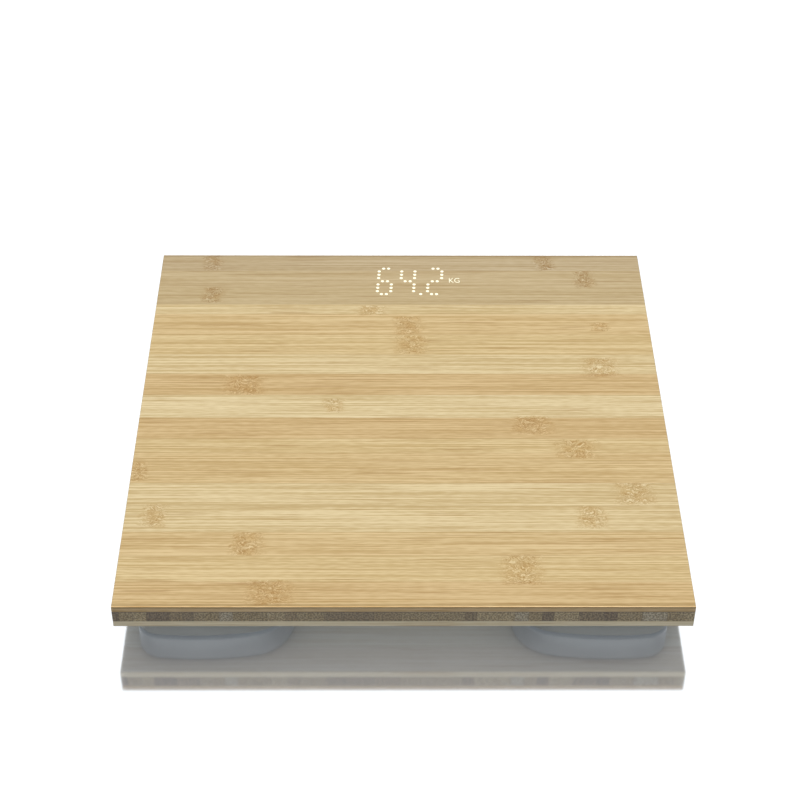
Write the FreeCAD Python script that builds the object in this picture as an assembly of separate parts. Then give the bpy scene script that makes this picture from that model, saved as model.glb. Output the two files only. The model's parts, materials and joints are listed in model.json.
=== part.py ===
import FreeCAD, Part
import math
import os

V = FreeCAD.Vector

# Bathroom scale. Millimetres, +Z up, +Y towards the display end. The origin is on the
# floor, under the middle of the platform.

# ---------------------------------------------------------------- driving dimensions
# Platform: three glued bamboo plies; a printed acrylic cover takes the top ply's place
# over the display end.
BOARD_W = 300.0
BOARD_L = 300.0
BOTTOM_PLY_T = 4.0
CORE_PLY_T = 7.2
TOP_PLY_T = 3.8
COVER_L = 51.5
BOARD_EDGE_R = 0.5
STANDING_H = 18.0

# Display: dot digits behind the cover, and one window for the unit
DIGIT_MID_FROM_BACK = 27.1
DIGIT_LEFT_X = (-28.15, -14.05, 0.05, 16.95)
DIGIT_W = 8.3
DOT_D = 2.2
DOT_FIRST_ROW = 3.25
DOT_PITCH_Y = 3.4
DOT_PITCH_X = 3.1
DIGIT_HALF_H = 12.95
DIGIT_SLANT = 0.0545
POINT_X = 12.9
UNIT_X = (29.4, 37.1)
UNIT_Y_ABOVE_MID = (-2.0, 3.8)
MASK_MARGIN_X = 5.5
MASK_MARGIN_Y = 4.0
MASK_T = 6.0
LED_BOARD_T = 1.6
LED_CHIP = (1.6, 0.8, 0.6)
WINDOW_GAP = 0.5

# Electronics housing under the board
HOUSING_W = 100.0
HOUSING_L = 88.0
HOUSING_BACK_GAP = 8.0
HOUSING_FLOOR_Z = 3.0
HOUSING_FLOOR_T = 2.4
HOUSING_WALL = 2.0
HOUSING_CORNER_R = 6.0
HOUSING_RIM_R = 1.0
BOSS_D = 9.0
BOSS_FROM_WALL = 5.0
BOSS_SEAT_Z = 10.0
MIDDLE_BOSS_FROM_FRONT = 28.0
PART_GAP = 0.3

# Batteries, three AAA cells lying along X
CELL_D = 10.5
CELL_L = 44.5
CELL_NUB_D = 3.8
CELL_NUB_L = 0.9
CELL_PITCH = 11.6
CELL_COUNT = 3
CELL_GAP_Z = 0.5
BAY_SIDE_GAP = 0.9
CELL_RIM_R = 0.6
BAY_WALL = 2.0
BAY_FRONT_WALL = 3.0
BAY_CEILING_T = 1.8
CONTACT_T = 0.4
CONTACT_W = 8.0
SPRING_L = 5.7
SPRING_D = 6.6
SPRING_WIRE_D = 0.6
SPRING_HALF_TURNS = 7
RIB_T = 0.8

# Sliding battery door, with a tongue along each side
DOOR_T = 1.8
DOOR_TONGUE_T = 0.9
DOOR_TONGUE_W = 1.4
DOOR_LAP = 1.6
DOOR_GAP = 0.1
DOOR_SIDE_GAP = 0.2
GRIP_COUNT = 5
GRIP_L = 18.0
GRIP_W = 0.9
GRIP_DEPTH = 0.5
GRIP_PITCH = 1.9
GRIP_FROM_EDGE = 4.0

# Main board and the unit button under it
BOARD_PCB_T = 1.6
BOARD_PCB_Z = 12.0
PCB_SIDE_GAP = 1.5
PCB_BACK_GAP = 1.0
PCB_BAY_GAP = 4.0
STANDOFF_D = 5.5
STANDOFF_X = 24.0
STANDOFF_FROM_EDGE = 4.0
BUTTON_X = 30.0
BUTTON_FROM_BACK = 30.0
BUTTON_D = 9.0
BUTTON_FLANGE_D = 12.0
BUTTON_FLANGE_T = 1.0
BUTTON_STEM_D = 4.0
BUTTON_PROUD = 0.6
BUTTON_TRAVEL = 0.5
FLANGE_GAP = 0.1
SWITCH_W = 6.0
SWITCH_H = 2.0
SWITCH_ROOF_T = 0.4
PLUNGER_D = 3.2
PLUNGER_REACH = 1.0
PLUNGER_GAP = 0.1
HEADER_PINS = 8
HEADER_PITCH = 2.54
HEADER_BASE_H = 2.5
HEADER_PIN_D = 0.64
HEADER_FROM_EDGE = 3.0
CHIP = (12.0, 1.4)
CRYSTAL = (10.0, 4.0, 3.2)
CAPACITOR = (5.0, 4.0)
CHIP_RESISTOR = (1.2, 2.0, 0.6)

# Feet: bowed square cups that slide a little on fixed mounts
FOOT_SIZE = 84.0
FOOT_INSET = 8.0
FOOT_SIDE_R = 190.0
FOOT_BOW_LEAD = 10.0
FOOT_OUTER_R = 13.0
FOOT_INNER_R = 24.0
FOOT_SCREW_GAP = 0.2
FOOT_BOTTOM_Z = 1.2
FOOT_TOP_GAP = 1.4
FOOT_WALL = 1.8
FOOT_FLOOR_T = 2.4
FOOT_RIM_R = 1.0
FOOT_TRAVEL = 0.6
FOOT_SLIDE_GAP = 0.6
FOOT_BOSS_D = 8.0
FOOT_BOSS_H = 2.8
FOOT_RIB_T = 1.2
FOOT_RIB_H = 1.6
PAD_INSET = 6.0
PAD_SINK = 1.2
PAD_GAP = 0.2
PAD_GROOVE = (1.2, 0.5)
PAD_GROOVE_PITCH = 8.0
LIP_REACH = 2.0
LIP_H = 1.5
LIP_W = 12.0
HOOK_W = 10.0
HOOK_GAP = 0.4
HOOK_LEG_T = 1.8
HOOK_TAB_H = 1.4
LIP_CLEAR = 0.1
MOUNT_T = 2.4
MOUNT_SCREW = 24.0

# Load cells: a steel frame with a tongue, one under each corner
LOAD_CELL_W = 34.0
LOAD_CELL_T = 2.0
LOAD_CELL_RIM = 4.0
LOAD_CELL_TONGUE = (14.0, 5.0)
LOAD_CELL_SEAT = 3.0
LOAD_CELL_GAP = 0.2
LOAD_CELL_GRIP = 1.4
CRADLE_WALL = 1.8
GAUGE = (10.0, 7.5, 0.8)

# Load cell wires, in channels milled in the bottom ply
WIRE_D = 1.2
WIRE_PITCH = 1.4
WIRE_BEND_R = 5.0
WIRE_TURN_R = 30.0
WIRE_WALL_GAP = 0.1
CHANNEL_W = 6.0
CHANNEL_DEPTH = 3.0
CHANNEL_COVER_T = 0.6
CHANNEL_COVER_LAP = 1.4
CHANNEL_COVER_GAP = 0.2
WIRE_REST_GAP = 0.4
WIRE_START = (2.5, 8.0)
CHANNEL_X = 39.5
CHANNEL_BEND_BELOW_HOUSING = 14.0
WIRE_DROP_FROM_WALL = 4.0
LEAD_D = 1.4
LEAD_OUT = 7.5
LEAD_PLUG = (6.0, 4.0, 3.5)
LEAD_PLUG_FROM_EDGE = 1.0
LEAD_REST_GAP = 0.6
LEAD_BEND_SHARE = 0.45

# Screws
WOOD_SCREW_D = 3.0
WOOD_SCREW_BITE = 8.5
WOOD_SCREW_HEAD_D = 5.6
COUNTERSINK_H = 1.8
PAN_HEAD_H = 2.0
BOARD_SCREW_D = 2.2
BOARD_SCREW_HEAD_D = 4.4
BOARD_SCREW_HEAD_H = 1.5
BOARD_SCREW_BITE = 5.0
THREAD_GAP = 0.05
HOLE_GAP = 0.3

# ---------------------------------------------------------------- places worked out
BOTTOM_Z = STANDING_H
CORE_Z = BOTTOM_Z + BOTTOM_PLY_T
SKIN_Z = CORE_Z + CORE_PLY_T
TOP_Z = SKIN_Z + TOP_PLY_T
COVER_Y = BOARD_L / 2 - COVER_L

DIGIT_MID_Y = BOARD_L / 2 - DIGIT_MID_FROM_BACK
MASK_X0 = DIGIT_LEFT_X[0] - MASK_MARGIN_X
MASK_X1 = UNIT_X[1] + MASK_MARGIN_X
MASK_Y0 = DIGIT_MID_Y - DIGIT_HALF_H - MASK_MARGIN_Y
MASK_Y1 = DIGIT_MID_Y + DIGIT_HALF_H + MASK_MARGIN_Y
MASK_Z = SKIN_Z - MASK_T
LED_BOARD_Z = MASK_Z - LED_BOARD_T

HOUSING_Y1 = BOARD_L / 2 - HOUSING_BACK_GAP
HOUSING_Y0 = HOUSING_Y1 - HOUSING_L
FLOOR_TOP_Z = HOUSING_FLOOR_Z + HOUSING_FLOOR_T
BAY_HALF_X = (CELL_L + SPRING_L) / 2 + CONTACT_T
BAY_Y0 = HOUSING_Y0 + BAY_FRONT_WALL
BAY_Y1 = BAY_Y0 + CELL_PITCH * CELL_COUNT + 2 * BAY_SIDE_GAP
BAY_TOP_Z = BOTTOM_Z - BAY_CEILING_T
CELL_Z = HOUSING_FLOOR_Z + DOOR_T + CELL_GAP_Z + CELL_D / 2
CELL_Y = [BAY_Y0 + BAY_SIDE_GAP + CELL_PITCH * (i + 0.5) for i in range(CELL_COUNT)]
RIB_Z = CELL_Z + CELL_D / 4
DOOR_HALF_W = BAY_HALF_X + DOOR_TONGUE_W / 2
DOOR_Y1 = BAY_Y1 + DOOR_LAP

PCB_HALF_X = HOUSING_W / 2 - HOUSING_WALL - PCB_SIDE_GAP
PCB_Y0 = BAY_Y1 + BAY_WALL + PCB_BAY_GAP
PCB_Y1 = HOUSING_Y1 - HOUSING_WALL - PCB_BACK_GAP
PCB_TOP_Z = BOARD_PCB_Z + BOARD_PCB_T
BUTTON_Y = BOARD_L / 2 - BUTTON_FROM_BACK
SWITCH_Z = BOARD_PCB_Z - SWITCH_H
STANDOFFS = [(x, y) for x in (-STANDOFF_X, STANDOFF_X)
             for y in (PCB_Y0 + STANDOFF_FROM_EDGE, PCB_Y1 - STANDOFF_FROM_EDGE)]
BOSS_X = HOUSING_W / 2 - BOSS_FROM_WALL
BOSS_Y = (HOUSING_Y0 + BOSS_FROM_WALL, HOUSING_Y0 + MIDDLE_BOSS_FROM_FRONT, HOUSING_Y1 - BOSS_FROM_WALL)
BOSSES = [(x, y) for x in (-BOSS_X, BOSS_X) for y in BOSS_Y]

FOOT_X = BOARD_W / 2 - FOOT_INSET - FOOT_SIZE / 2
FOOT_Y = BOARD_L / 2 - FOOT_INSET - FOOT_SIZE / 2
FOOT_TOP_Z = BOTTOM_Z - FOOT_TOP_GAP
FOOT_FLOOR_Z = FOOT_BOTTOM_Z + FOOT_FLOOR_T
LOAD_CELL_Z = FOOT_FLOOR_Z + FOOT_BOSS_H
CRADLE_Z = LOAD_CELL_Z + LOAD_CELL_T
MOUNT_Z = BOTTOM_Z - MOUNT_T
LIP_Z = MOUNT_Z - FOOT_TRAVEL - PART_GAP - LIP_H
HOOK_INSET = FOOT_WALL + LIP_REACH + HOOK_GAP
CORNERS = {"front_left": (-1, -1), "front_right": (1, -1),
           "back_left": (-1, 1), "back_right": (1, 1)}

WIRE_Z = BOTTOM_Z + CHANNEL_COVER_T + WIRE_D / 2 + WIRE_REST_GAP
LEAD_Z = PCB_TOP_Z + LEAD_D / 2 + LEAD_REST_GAP


# ---------------------------------------------------------------- shape helpers
def box(x0, x1, y0, y1, z0, z1):
    return Part.makeBox(x1 - x0, y1 - y0, z1 - z0, V(x0, y0, z0))


def disc(x, y, z0, z1, diameter):
    return Part.makeCylinder(diameter / 2, z1 - z0, V(x, y, z0))


def square(x, y, width, z0, z1):
    half = width / 2
    return box(x - half, x + half, y - half, y + half, z0, z1)


def upright_edges(shape):
    """Straight edges that run along Z."""
    found = []
    for edge in shape.Edges:
        a, b = edge.Vertexes[0].Point, edge.Vertexes[-1].Point
        if math.hypot(a.x - b.x, a.y - b.y) < 1e-6 and abs(a.z - b.z) > 1e-6:
            found.append(edge)
    return found


def level_edges(shape, z):
    """Edges that lie wholly at height z."""
    return [e for e in shape.Edges
            if abs(e.BoundBox.ZMin - z) < 1e-6 and abs(e.BoundBox.ZMax - z) < 1e-6]


def rounded_block(x0, x1, y0, y1, z0, z1, corner_r):
    block = box(x0, x1, y0, y1, z0, z1)
    return block.makeFillet(corner_r, upright_edges(block))


def fuse_all(shapes):
    if len(shapes) == 1:
        return shapes[0]
    return shapes[0].multiFuse(shapes[1:]).removeSplitter()


def group(shapes):
    """Separate solids kept in one node."""
    return Part.makeCompound([solid for shape in shapes for solid in shape.Solids])


def slot(p, q, width, z0, z1):
    """A round-ended bar from p to q, both at z = 0."""
    along = (q - p).normalize()
    side = V(-along.y, along.x, 0) * (width / 2)
    end = along * (width / 2)
    edges = [Part.LineSegment(p - side, q - side),
             Part.Arc(q - side, q + end, q + side),
             Part.LineSegment(q + side, p + side),
             Part.Arc(p + side, p - end, p - side)]
    face = Part.Face(Part.Wire([edge.toShape() for edge in edges]))
    face.translate(V(0, 0, z0))
    return face.extrude(V(0, 0, z1 - z0))


def tube(points, radii, diameter):
    """A wire of straight runs joined by tangent arcs, one radius for each inner point."""
    edges = []
    start = points[0]
    for before, corner, after, radius in zip(points, points[1:], points[2:], radii):
        into = (corner - before).normalize()
        out = (after - corner).normalize()
        half_turn = into.getAngle(out) / 2
        reach = radius * math.tan(half_turn)
        first, last = corner - into * reach, corner + out * reach
        inward = (out - into).normalize()
        middle = corner + inward * (radius / math.cos(half_turn) - radius)
        edges.append(Part.LineSegment(start, first).toShape())
        edges.append(Part.Arc(first, middle, last).toShape())
        start = last
    edges.append(Part.LineSegment(start, points[-1]).toShape())
    circle = Part.makeCircle(diameter / 2, points[0], points[1] - points[0])
    return Part.Wire(edges).makePipeShell([Part.Wire([circle])], True, False)


def screw(head_d, head_h, shank_d, length, countersunk):
    """A screw pointing up, with its head's face at z = 0 and a cross cut in it."""
    if countersunk:
        head = Part.makeCone(head_d / 2, shank_d / 2, head_h)
    else:
        head = disc(0, 0, 0, head_h, head_d)
        head = head.makeFillet(head_h / 3, level_edges(head, 0))
    point_l = shank_d / 2
    shank = disc(0, 0, 0, length - point_l, shank_d)
    point = Part.makeCone(shank_d / 2, shank_d / 8, point_l, V(0, 0, length - point_l))
    body = fuse_all([head, shank, point])
    half, arm, depth = head_d / 12, head_d * 0.3, head_h * 0.6
    cross = box(-arm, arm, -half, half, 0, depth).fuse(box(-half, half, -arm, arm, 0, depth))
    return body.cut(cross)


def placed(shape, x, y, z):
    copy = shape.copy()
    copy.translate(V(x, y, z))
    return copy


# ---------------------------------------------------------------- foot outline
def inner_corner_r():
    """The inner corners' fillet, limited so that the wall clears the mount's screws."""
    bow = (MOUNT_SCREW + FOOT_BOW_LEAD) ** 2 / (2 * FOOT_SIDE_R)
    room = FOOT_SIZE / 2 - bow - FOOT_WALL - MOUNT_SCREW
    head_r = WOOD_SCREW_HEAD_D / 2 + FOOT_SCREW_GAP
    limit = (math.sqrt(2) * room - head_r) / (math.sqrt(2) - 1) + FOOT_WALL
    return min(FOOT_INNER_R, limit)


def foot_prism(inset, z0, z1):
    """The front left foot's outline, drawn in by inset: four bowed sides, round corners."""
    sides = []
    for angle, lead in ((180, FOOT_BOW_LEAD), (270, FOOT_BOW_LEAD), (0, 0), (90, 0)):
        out = V(math.cos(math.radians(angle)), math.sin(math.radians(angle)), 0)
        slide = V(-abs(out.y), -abs(out.x), 0) * lead
        centre = V(-FOOT_X, -FOOT_Y, z0) + slide - out * (FOOT_SIDE_R - FOOT_SIZE / 2)
        side = Part.makeCylinder(FOOT_SIDE_R - inset, z1 - z0, centre)
        side.rotate(centre, V(0, 0, 1), angle + 180)
        sides.append(side)
    prism = sides[0].common(sides[1]).common(sides[2]).common(sides[3])
    edges = sorted(upright_edges(prism), key=lambda e: e.BoundBox.XMin + e.BoundBox.YMin)
    prism = prism.makeFillet(inner_corner_r() - inset, edges[1:])
    edges = sorted(upright_edges(prism), key=lambda e: e.BoundBox.XMin + e.BoundBox.YMin)
    return prism.makeFillet(FOOT_OUTER_R - inset, edges[:1])


def foot_ring(outer_inset, inner_inset, z0, z1):
    return foot_prism(outer_inset, z0, z1).cut(foot_prism(inner_inset, z0, z1))


def foot_cross(width, z0, z1):
    """Two crossed bars through the foot's middle, which pick out the middle of each side."""
    reach = FOOT_SIZE
    along_x = box(-FOOT_X - reach, -FOOT_X + reach, -FOOT_Y - width / 2, -FOOT_Y + width / 2, z0, z1)
    along_y = box(-FOOT_X - width / 2, -FOOT_X + width / 2, -FOOT_Y - reach, -FOOT_Y + reach, z0, z1)
    return along_x.fuse(along_y)


def at_corner(shape, sx, sy):
    """Mirror a front left shape to the corner given by its signs."""
    if sx > 0:
        shape = shape.mirror(V(0, 0, 0), V(1, 0, 0))
    if sy > 0:
        shape = shape.mirror(V(0, 0, 0), V(0, 1, 0))
    return shape


def foot_screw_places(sx, sy):
    cx, cy = sx * FOOT_X, sy * FOOT_Y
    return [(cx + i * MOUNT_SCREW, cy + j * MOUNT_SCREW) for i in (-1, 1) for j in (-1, 1)]


ALL_FOOT_SCREWS = [p for sx, sy in CORNERS.values() for p in foot_screw_places(sx, sy)]


# ---------------------------------------------------------------- wire routes
def wire_plan(sx, sy):
    """Plan of a load cell's wires: from its tongue to where they drop to the main board."""
    start = V(sx * (FOOT_X - WIRE_START[0]), sy * FOOT_Y + WIRE_START[1], 0)
    if sy > 0:
        drop = V(sx * (HOUSING_W / 2 - HOUSING_WALL - WIRE_DROP_FROM_WALL), start.y, 0)
        return [start, drop]
    bend = V(sx * CHANNEL_X, HOUSING_Y0 - CHANNEL_BEND_BELOW_HOUSING, 0)
    return [start, bend, V(sx * CHANNEL_X, PCB_Y0 + WIRE_BEND_R / 2, 0)]


def turn_r(before, bend, after):
    """The radius of a wire's turn, limited by the channel's inner wall at the bend."""
    cosine = math.cos((bend - before).getAngle(after - bend) / 2)
    room = CHANNEL_W / 2 - WIRE_PITCH - (WIRE_D / 2 + WIRE_WALL_GAP) * cosine
    return min(WIRE_TURN_R, room / (1 - cosine))


def shifted(plan, offset):
    """The plan moved sideways by offset, with its bends kept parallel."""
    normals = []
    for p, q in zip(plan, plan[1:]):
        along = (q - p).normalize()
        normals.append(V(-along.y, along.x, 0))
    moved = [plan[0] + normals[0] * offset]
    for point, n0, n1 in zip(plan[1:-1], normals, normals[1:]):
        middle = (n0 + n1).normalize()
        moved.append(point + middle * (offset / middle.dot(n0)))
    moved.append(plan[-1] + normals[-1] * offset)
    return moved


def channel(sx, sy, width, z0, z1):
    plan = wire_plan(sx, sy)
    return fuse_all([slot(p, q, width, z0, z1) for p, q in zip(plan, plan[1:])])


def covered_channel(sx, sy, width, gap, z0, z1):
    """The stretch of a channel that neither the foot's mount nor the housing covers."""
    run = channel(sx, sy, width, z0, z1)
    mount = at_corner(foot_prism(FOOT_WALL - gap, z0, z1), sx, sy)
    half = HOUSING_W / 2 + gap
    housing = box(-half, half, HOUSING_Y0 - gap, HOUSING_Y1 + gap, z0, z1)
    return run.cut(mount).cut(housing)


# ---------------------------------------------------------------- platform
def ply(y0, y1, z0, z1, rounded_z):
    """A full-width ply, with its outer edges at height rounded_z eased."""
    block = box(-BOARD_W / 2, BOARD_W / 2, y0, y1, z0, z1)
    if rounded_z is None:
        return block
    outer = []
    for edge in level_edges(block, rounded_z):
        b = edge.BoundBox
        on_side = b.XLength < 1e-6
        on_end = b.YLength < 1e-6 and abs(abs(b.YMin) - BOARD_L / 2) < 1e-6
        if on_side or on_end:
            outer.append(edge)
    return block.makeFillet(BOARD_EDGE_R, outer)


def display_window(z0, z1):
    gap = WINDOW_GAP
    return box(MASK_X0 - gap, MASK_X1 + gap, MASK_Y0 - gap, MASK_Y1 + gap, z0, z1)


def pilot_holes():
    top = BOTTOM_Z + WOOD_SCREW_BITE + THREAD_GAP
    places = ALL_FOOT_SCREWS + BOSSES
    return [disc(x, y, BOTTOM_Z, top, WOOD_SCREW_D + 2 * THREAD_GAP) for x, y in places]


def top_ply():
    return ply(-BOARD_L / 2, COVER_Y, SKIN_Z, TOP_Z, TOP_Z)


def display_cover():
    return ply(COVER_Y, BOARD_L / 2, SKIN_Z, TOP_Z, TOP_Z)


def core_ply():
    block = ply(-BOARD_L / 2, BOARD_L / 2, CORE_Z, SKIN_Z, None)
    return block.cut([display_window(CORE_Z, SKIN_Z)] + pilot_holes())


def bottom_ply():
    block = ply(-BOARD_L / 2, BOARD_L / 2, BOTTOM_Z, CORE_Z, BOTTOM_Z)
    cuts = [display_window(BOTTOM_Z, CORE_Z)] + pilot_holes()
    rebate_w = CHANNEL_W + 2 * CHANNEL_COVER_LAP
    for sx, sy in CORNERS.values():
        cuts.append(channel(sx, sy, CHANNEL_W, BOTTOM_Z, BOTTOM_Z + CHANNEL_DEPTH))
        cuts.append(covered_channel(sx, sy, rebate_w, 0, BOTTOM_Z, BOTTOM_Z + CHANNEL_COVER_T))
    return block.cut(cuts)


def channel_covers():
    width = CHANNEL_W + 2 * CHANNEL_COVER_LAP - 2 * CHANNEL_COVER_GAP
    top = BOTTOM_Z + CHANNEL_COVER_T
    return group([covered_channel(sx, sy, width, CHANNEL_COVER_GAP, BOTTOM_Z, top)
                  for sx, sy in CORNERS.values()])


# ---------------------------------------------------------------- display
def digit_dots(left_x):
    """Centres of one digit's dots: seven segments of two or three dots, slightly slanted."""
    rows = [DOT_FIRST_ROW + DOT_PITCH_Y * i for i in range(3)]
    dots = [(x, side * row) for x in (0, DIGIT_W) for side in (-1, 1) for row in rows]
    middle = DIGIT_W / 2
    for y in (-DIGIT_HALF_H, 0, DIGIT_HALF_H):
        dots += [(middle - DOT_PITCH_X / 2, y), (middle + DOT_PITCH_X / 2, y)]
    return [(left_x + x + DIGIT_SLANT * y, DIGIT_MID_Y + y) for x, y in dots]


def all_dots():
    dots = [dot for left_x in DIGIT_LEFT_X for dot in digit_dots(left_x)]
    return dots + [(POINT_X - DIGIT_SLANT * DIGIT_HALF_H, DIGIT_MID_Y - DIGIT_HALF_H)]


def dot_mask():
    block = box(MASK_X0, MASK_X1, MASK_Y0, MASK_Y1, MASK_Z, SKIN_Z)
    low, high = UNIT_Y_ABOVE_MID
    unit = box(UNIT_X[0], UNIT_X[1], DIGIT_MID_Y + low, DIGIT_MID_Y + high, MASK_Z, SKIN_Z)
    return block.cut([disc(x, y, MASK_Z, SKIN_Z, DOT_D) for x, y in all_dots()] + [unit])


def led_board():
    return box(MASK_X0, MASK_X1, MASK_Y0, MASK_Y1, LED_BOARD_Z, MASK_Z)


def led_chips():
    w, d, h = LED_CHIP
    unit_mid_y = DIGIT_MID_Y + sum(UNIT_Y_ABOVE_MID) / 2
    unit_w = UNIT_X[1] - UNIT_X[0]
    places = all_dots() + [(UNIT_X[0] + unit_w * share, unit_mid_y) for share in (0.25, 0.75)]
    return group([box(x - w / 2, x + w / 2, y - d / 2, y + d / 2, MASK_Z, MASK_Z + h)
                  for x, y in places])


def display_header():
    """Upright pins that carry the display's signals from the main board."""
    y = min(PCB_Y1, MASK_Y1) - HEADER_FROM_EDGE
    half = HEADER_PITCH / 2
    length = HEADER_PITCH * HEADER_PINS / 2
    base = box(-length, length, y - half, y + half, PCB_TOP_Z, PCB_TOP_Z + HEADER_BASE_H)
    pins = [disc(-length + HEADER_PITCH * (i + 0.5), y, PCB_TOP_Z, LED_BOARD_Z, HEADER_PIN_D)
            for i in range(HEADER_PINS)]
    return fuse_all([base] + pins)


# ---------------------------------------------------------------- electronics housing
def housing_shell():
    half = HOUSING_W / 2
    outer = rounded_block(-half, half, HOUSING_Y0, HOUSING_Y1, HOUSING_FLOOR_Z, BOTTOM_Z, HOUSING_CORNER_R)
    outer = outer.makeFillet(HOUSING_RIM_R, level_edges(outer, HOUSING_FLOOR_Z))
    half -= HOUSING_WALL
    y0, y1 = HOUSING_Y0 + HOUSING_WALL, HOUSING_Y1 - HOUSING_WALL
    inner_r = HOUSING_CORNER_R - HOUSING_WALL
    return outer.cut(rounded_block(-half, half, y0, y1, FLOOR_TOP_Z, BOTTOM_Z, inner_r))


def door_opening():
    """The door's slot in the housing floor: narrow below, wider above for the tongues."""
    low = HOUSING_FLOOR_Z
    ledge = low + DOOR_T - DOOR_TONGUE_T - DOOR_GAP
    high = low + DOOR_T + DOOR_GAP
    wide = DOOR_HALF_W + DOOR_SIDE_GAP
    narrow = wide - DOOR_TONGUE_W
    y1 = DOOR_Y1 + DOOR_SIDE_GAP
    return box(-narrow, narrow, HOUSING_Y0, y1, low, high).fuse(
        box(-wide, wide, HOUSING_Y0, y1, ledge, high))


def electronics_housing():
    shell = housing_shell()
    tray_half = BAY_HALF_X + BAY_WALL
    tray = box(-tray_half, tray_half, HOUSING_Y0 + HOUSING_WALL, BAY_Y1 + BAY_WALL, FLOOR_TOP_Z, BOTTOM_Z)
    bosses = [disc(x, y, FLOOR_TOP_Z, BOTTOM_Z, BOSS_D) for x, y in BOSSES]
    standoffs = [disc(x, y, FLOOR_TOP_Z, BOARD_PCB_Z, STANDOFF_D) for x, y in STANDOFFS]
    body = fuse_all([shell, tray] + bosses + standoffs)

    cuts = [box(-BAY_HALF_X, BAY_HALF_X, BAY_Y0, BAY_Y1, HOUSING_FLOOR_Z, BAY_TOP_Z), door_opening()]
    for x, y in BOSSES:
        cuts.append(disc(x, y, HOUSING_FLOOR_Z, BOSS_SEAT_Z, WOOD_SCREW_HEAD_D + 2 * HOLE_GAP))
        cuts.append(disc(x, y, BOSS_SEAT_Z, BOTTOM_Z, WOOD_SCREW_D + 2 * HOLE_GAP))
    for x, y in STANDOFFS:
        bite_z = BOARD_PCB_Z - BOARD_SCREW_BITE - THREAD_GAP
        cuts.append(disc(x, y, bite_z, BOARD_PCB_Z, BOARD_SCREW_D + 2 * THREAD_GAP))
    cuts.append(disc(BUTTON_X, BUTTON_Y, HOUSING_FLOOR_Z, FLOOR_TOP_Z, BUTTON_D + 2 * PART_GAP))
    for side, y in ((-1, CELL_Y[0]), (1, CELL_Y[-1])):
        inner, outer = sorted((side * BAY_HALF_X, side * tray_half))
        hole = Part.makeCylinder(LEAD_D / 2 + HOLE_GAP, outer - inner, V(inner, y, LEAD_Z), V(1, 0, 0))
        cuts.append(hole)
    body = body.cut(cuts)

    ribs = []
    for y0, y1 in zip(CELL_Y, CELL_Y[1:]):
        y = (y0 + y1) / 2
        ribs.append(box(-BAY_HALF_X, BAY_HALF_X, y - RIB_T / 2, y + RIB_T / 2, RIB_Z, BAY_TOP_Z))
    return fuse_all([body] + ribs)


def battery_door():
    z0 = HOUSING_FLOOR_Z
    tongue_z = z0 + DOOR_T - DOOR_TONGUE_T
    narrow = DOOR_HALF_W - DOOR_TONGUE_W
    plate = box(-narrow, narrow, HOUSING_Y0, DOOR_Y1, z0, z0 + DOOR_T)
    tongues = box(-DOOR_HALF_W, DOOR_HALF_W, HOUSING_Y0, DOOR_Y1, tongue_z, z0 + DOOR_T)
    door = fuse_all([plate, tongues])
    front_edge = [e for e in level_edges(door, z0) if e.BoundBox.YMax < HOUSING_Y0 + 1e-6]
    door = door.makeFillet(HOUSING_RIM_R / 2, front_edge)
    grips = []
    for i in range(GRIP_COUNT):
        y = HOUSING_Y0 + GRIP_FROM_EDGE + GRIP_PITCH * i
        grips.append(slot(V(-GRIP_L / 2, y, 0), V(GRIP_L / 2, y, 0), GRIP_W, z0, z0 + GRIP_DEPTH))
    return door.cut(grips)


def housing_screws():
    length = BOTTOM_Z + WOOD_SCREW_BITE - (BOSS_SEAT_Z - PAN_HEAD_H)
    one = screw(WOOD_SCREW_HEAD_D, PAN_HEAD_H, WOOD_SCREW_D, length, False)
    return group([placed(one, x, y, BOSS_SEAT_Z - PAN_HEAD_H) for x, y in BOSSES])


# ---------------------------------------------------------------- batteries
def battery(index):
    """A cell along X. Cells alternate, so the nub of every second one points to -X."""
    can_l = CELL_L - CELL_NUB_L
    can = Part.makeCylinder(CELL_D / 2, can_l)
    can = can.makeFillet(CELL_RIM_R, level_edges(can, 0) + level_edges(can, can_l))
    nub = Part.makeCylinder(CELL_NUB_D / 2, CELL_NUB_L + CELL_RIM_R, V(0, 0, can_l - CELL_RIM_R))
    cell = fuse_all([can, nub])
    cell.rotate(V(0, 0, 0), V(0, 1, 0), 90)
    cell.translate(V(BAY_HALF_X - CONTACT_T - CELL_L, CELL_Y[index], CELL_Z))
    if index % 2:
        cell = cell.mirror(V(0, 0, 0), V(1, 0, 0))
    return cell


def contact_plates():
    """End plates: single ones for the two leads, and wide ones that join two cells."""
    plates = []
    z0 = HOUSING_FLOOR_Z + DOOR_T + CELL_GAP_Z
    for side, first, last, z1 in ((-1, 0, 0, BAY_TOP_Z), (-1, 1, 2, RIB_Z),
                                  (1, 0, 1, RIB_Z), (1, 2, 2, BAY_TOP_Z)):
        x0, x1 = sorted((side * BAY_HALF_X, side * (BAY_HALF_X - CONTACT_T)))
        y0, y1 = CELL_Y[first] - CONTACT_W / 2, CELL_Y[last] + CONTACT_W / 2
        plates.append(box(x0, x1, y0, y1, z0, z1))
    return group(plates)


def coil_spring(length, outer_d, wire_d, half_turns):
    """A coil about Z, centred, of half rings that each climb by tilting about Y.

    Neighbours meet in the plane y = 0, where both run straight along Y.
    """
    radius = (outer_d - wire_d) / 2
    rise = (length - wire_d) / half_turns
    tilt = math.asin(rise / (2 * radius))
    coil = []
    for i in range(half_turns):
        side = 1 if i % 2 else -1
        end = Part.makeCircle(wire_d / 2, V(radius, 0, 0), V(0, 1, 0))
        half = Part.Face(Part.Wire([end])).revolve(V(0, 0, 0), V(0, 0, 1), -side * 180)
        half.rotate(V(0, 0, 0), V(0, 1, 0), side * math.degrees(tilt))
        half.translate(V(0, 0, (i + 0.5) * rise - half_turns * rise / 2))
        coil.append(half)
    return fuse_all(coil)


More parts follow.
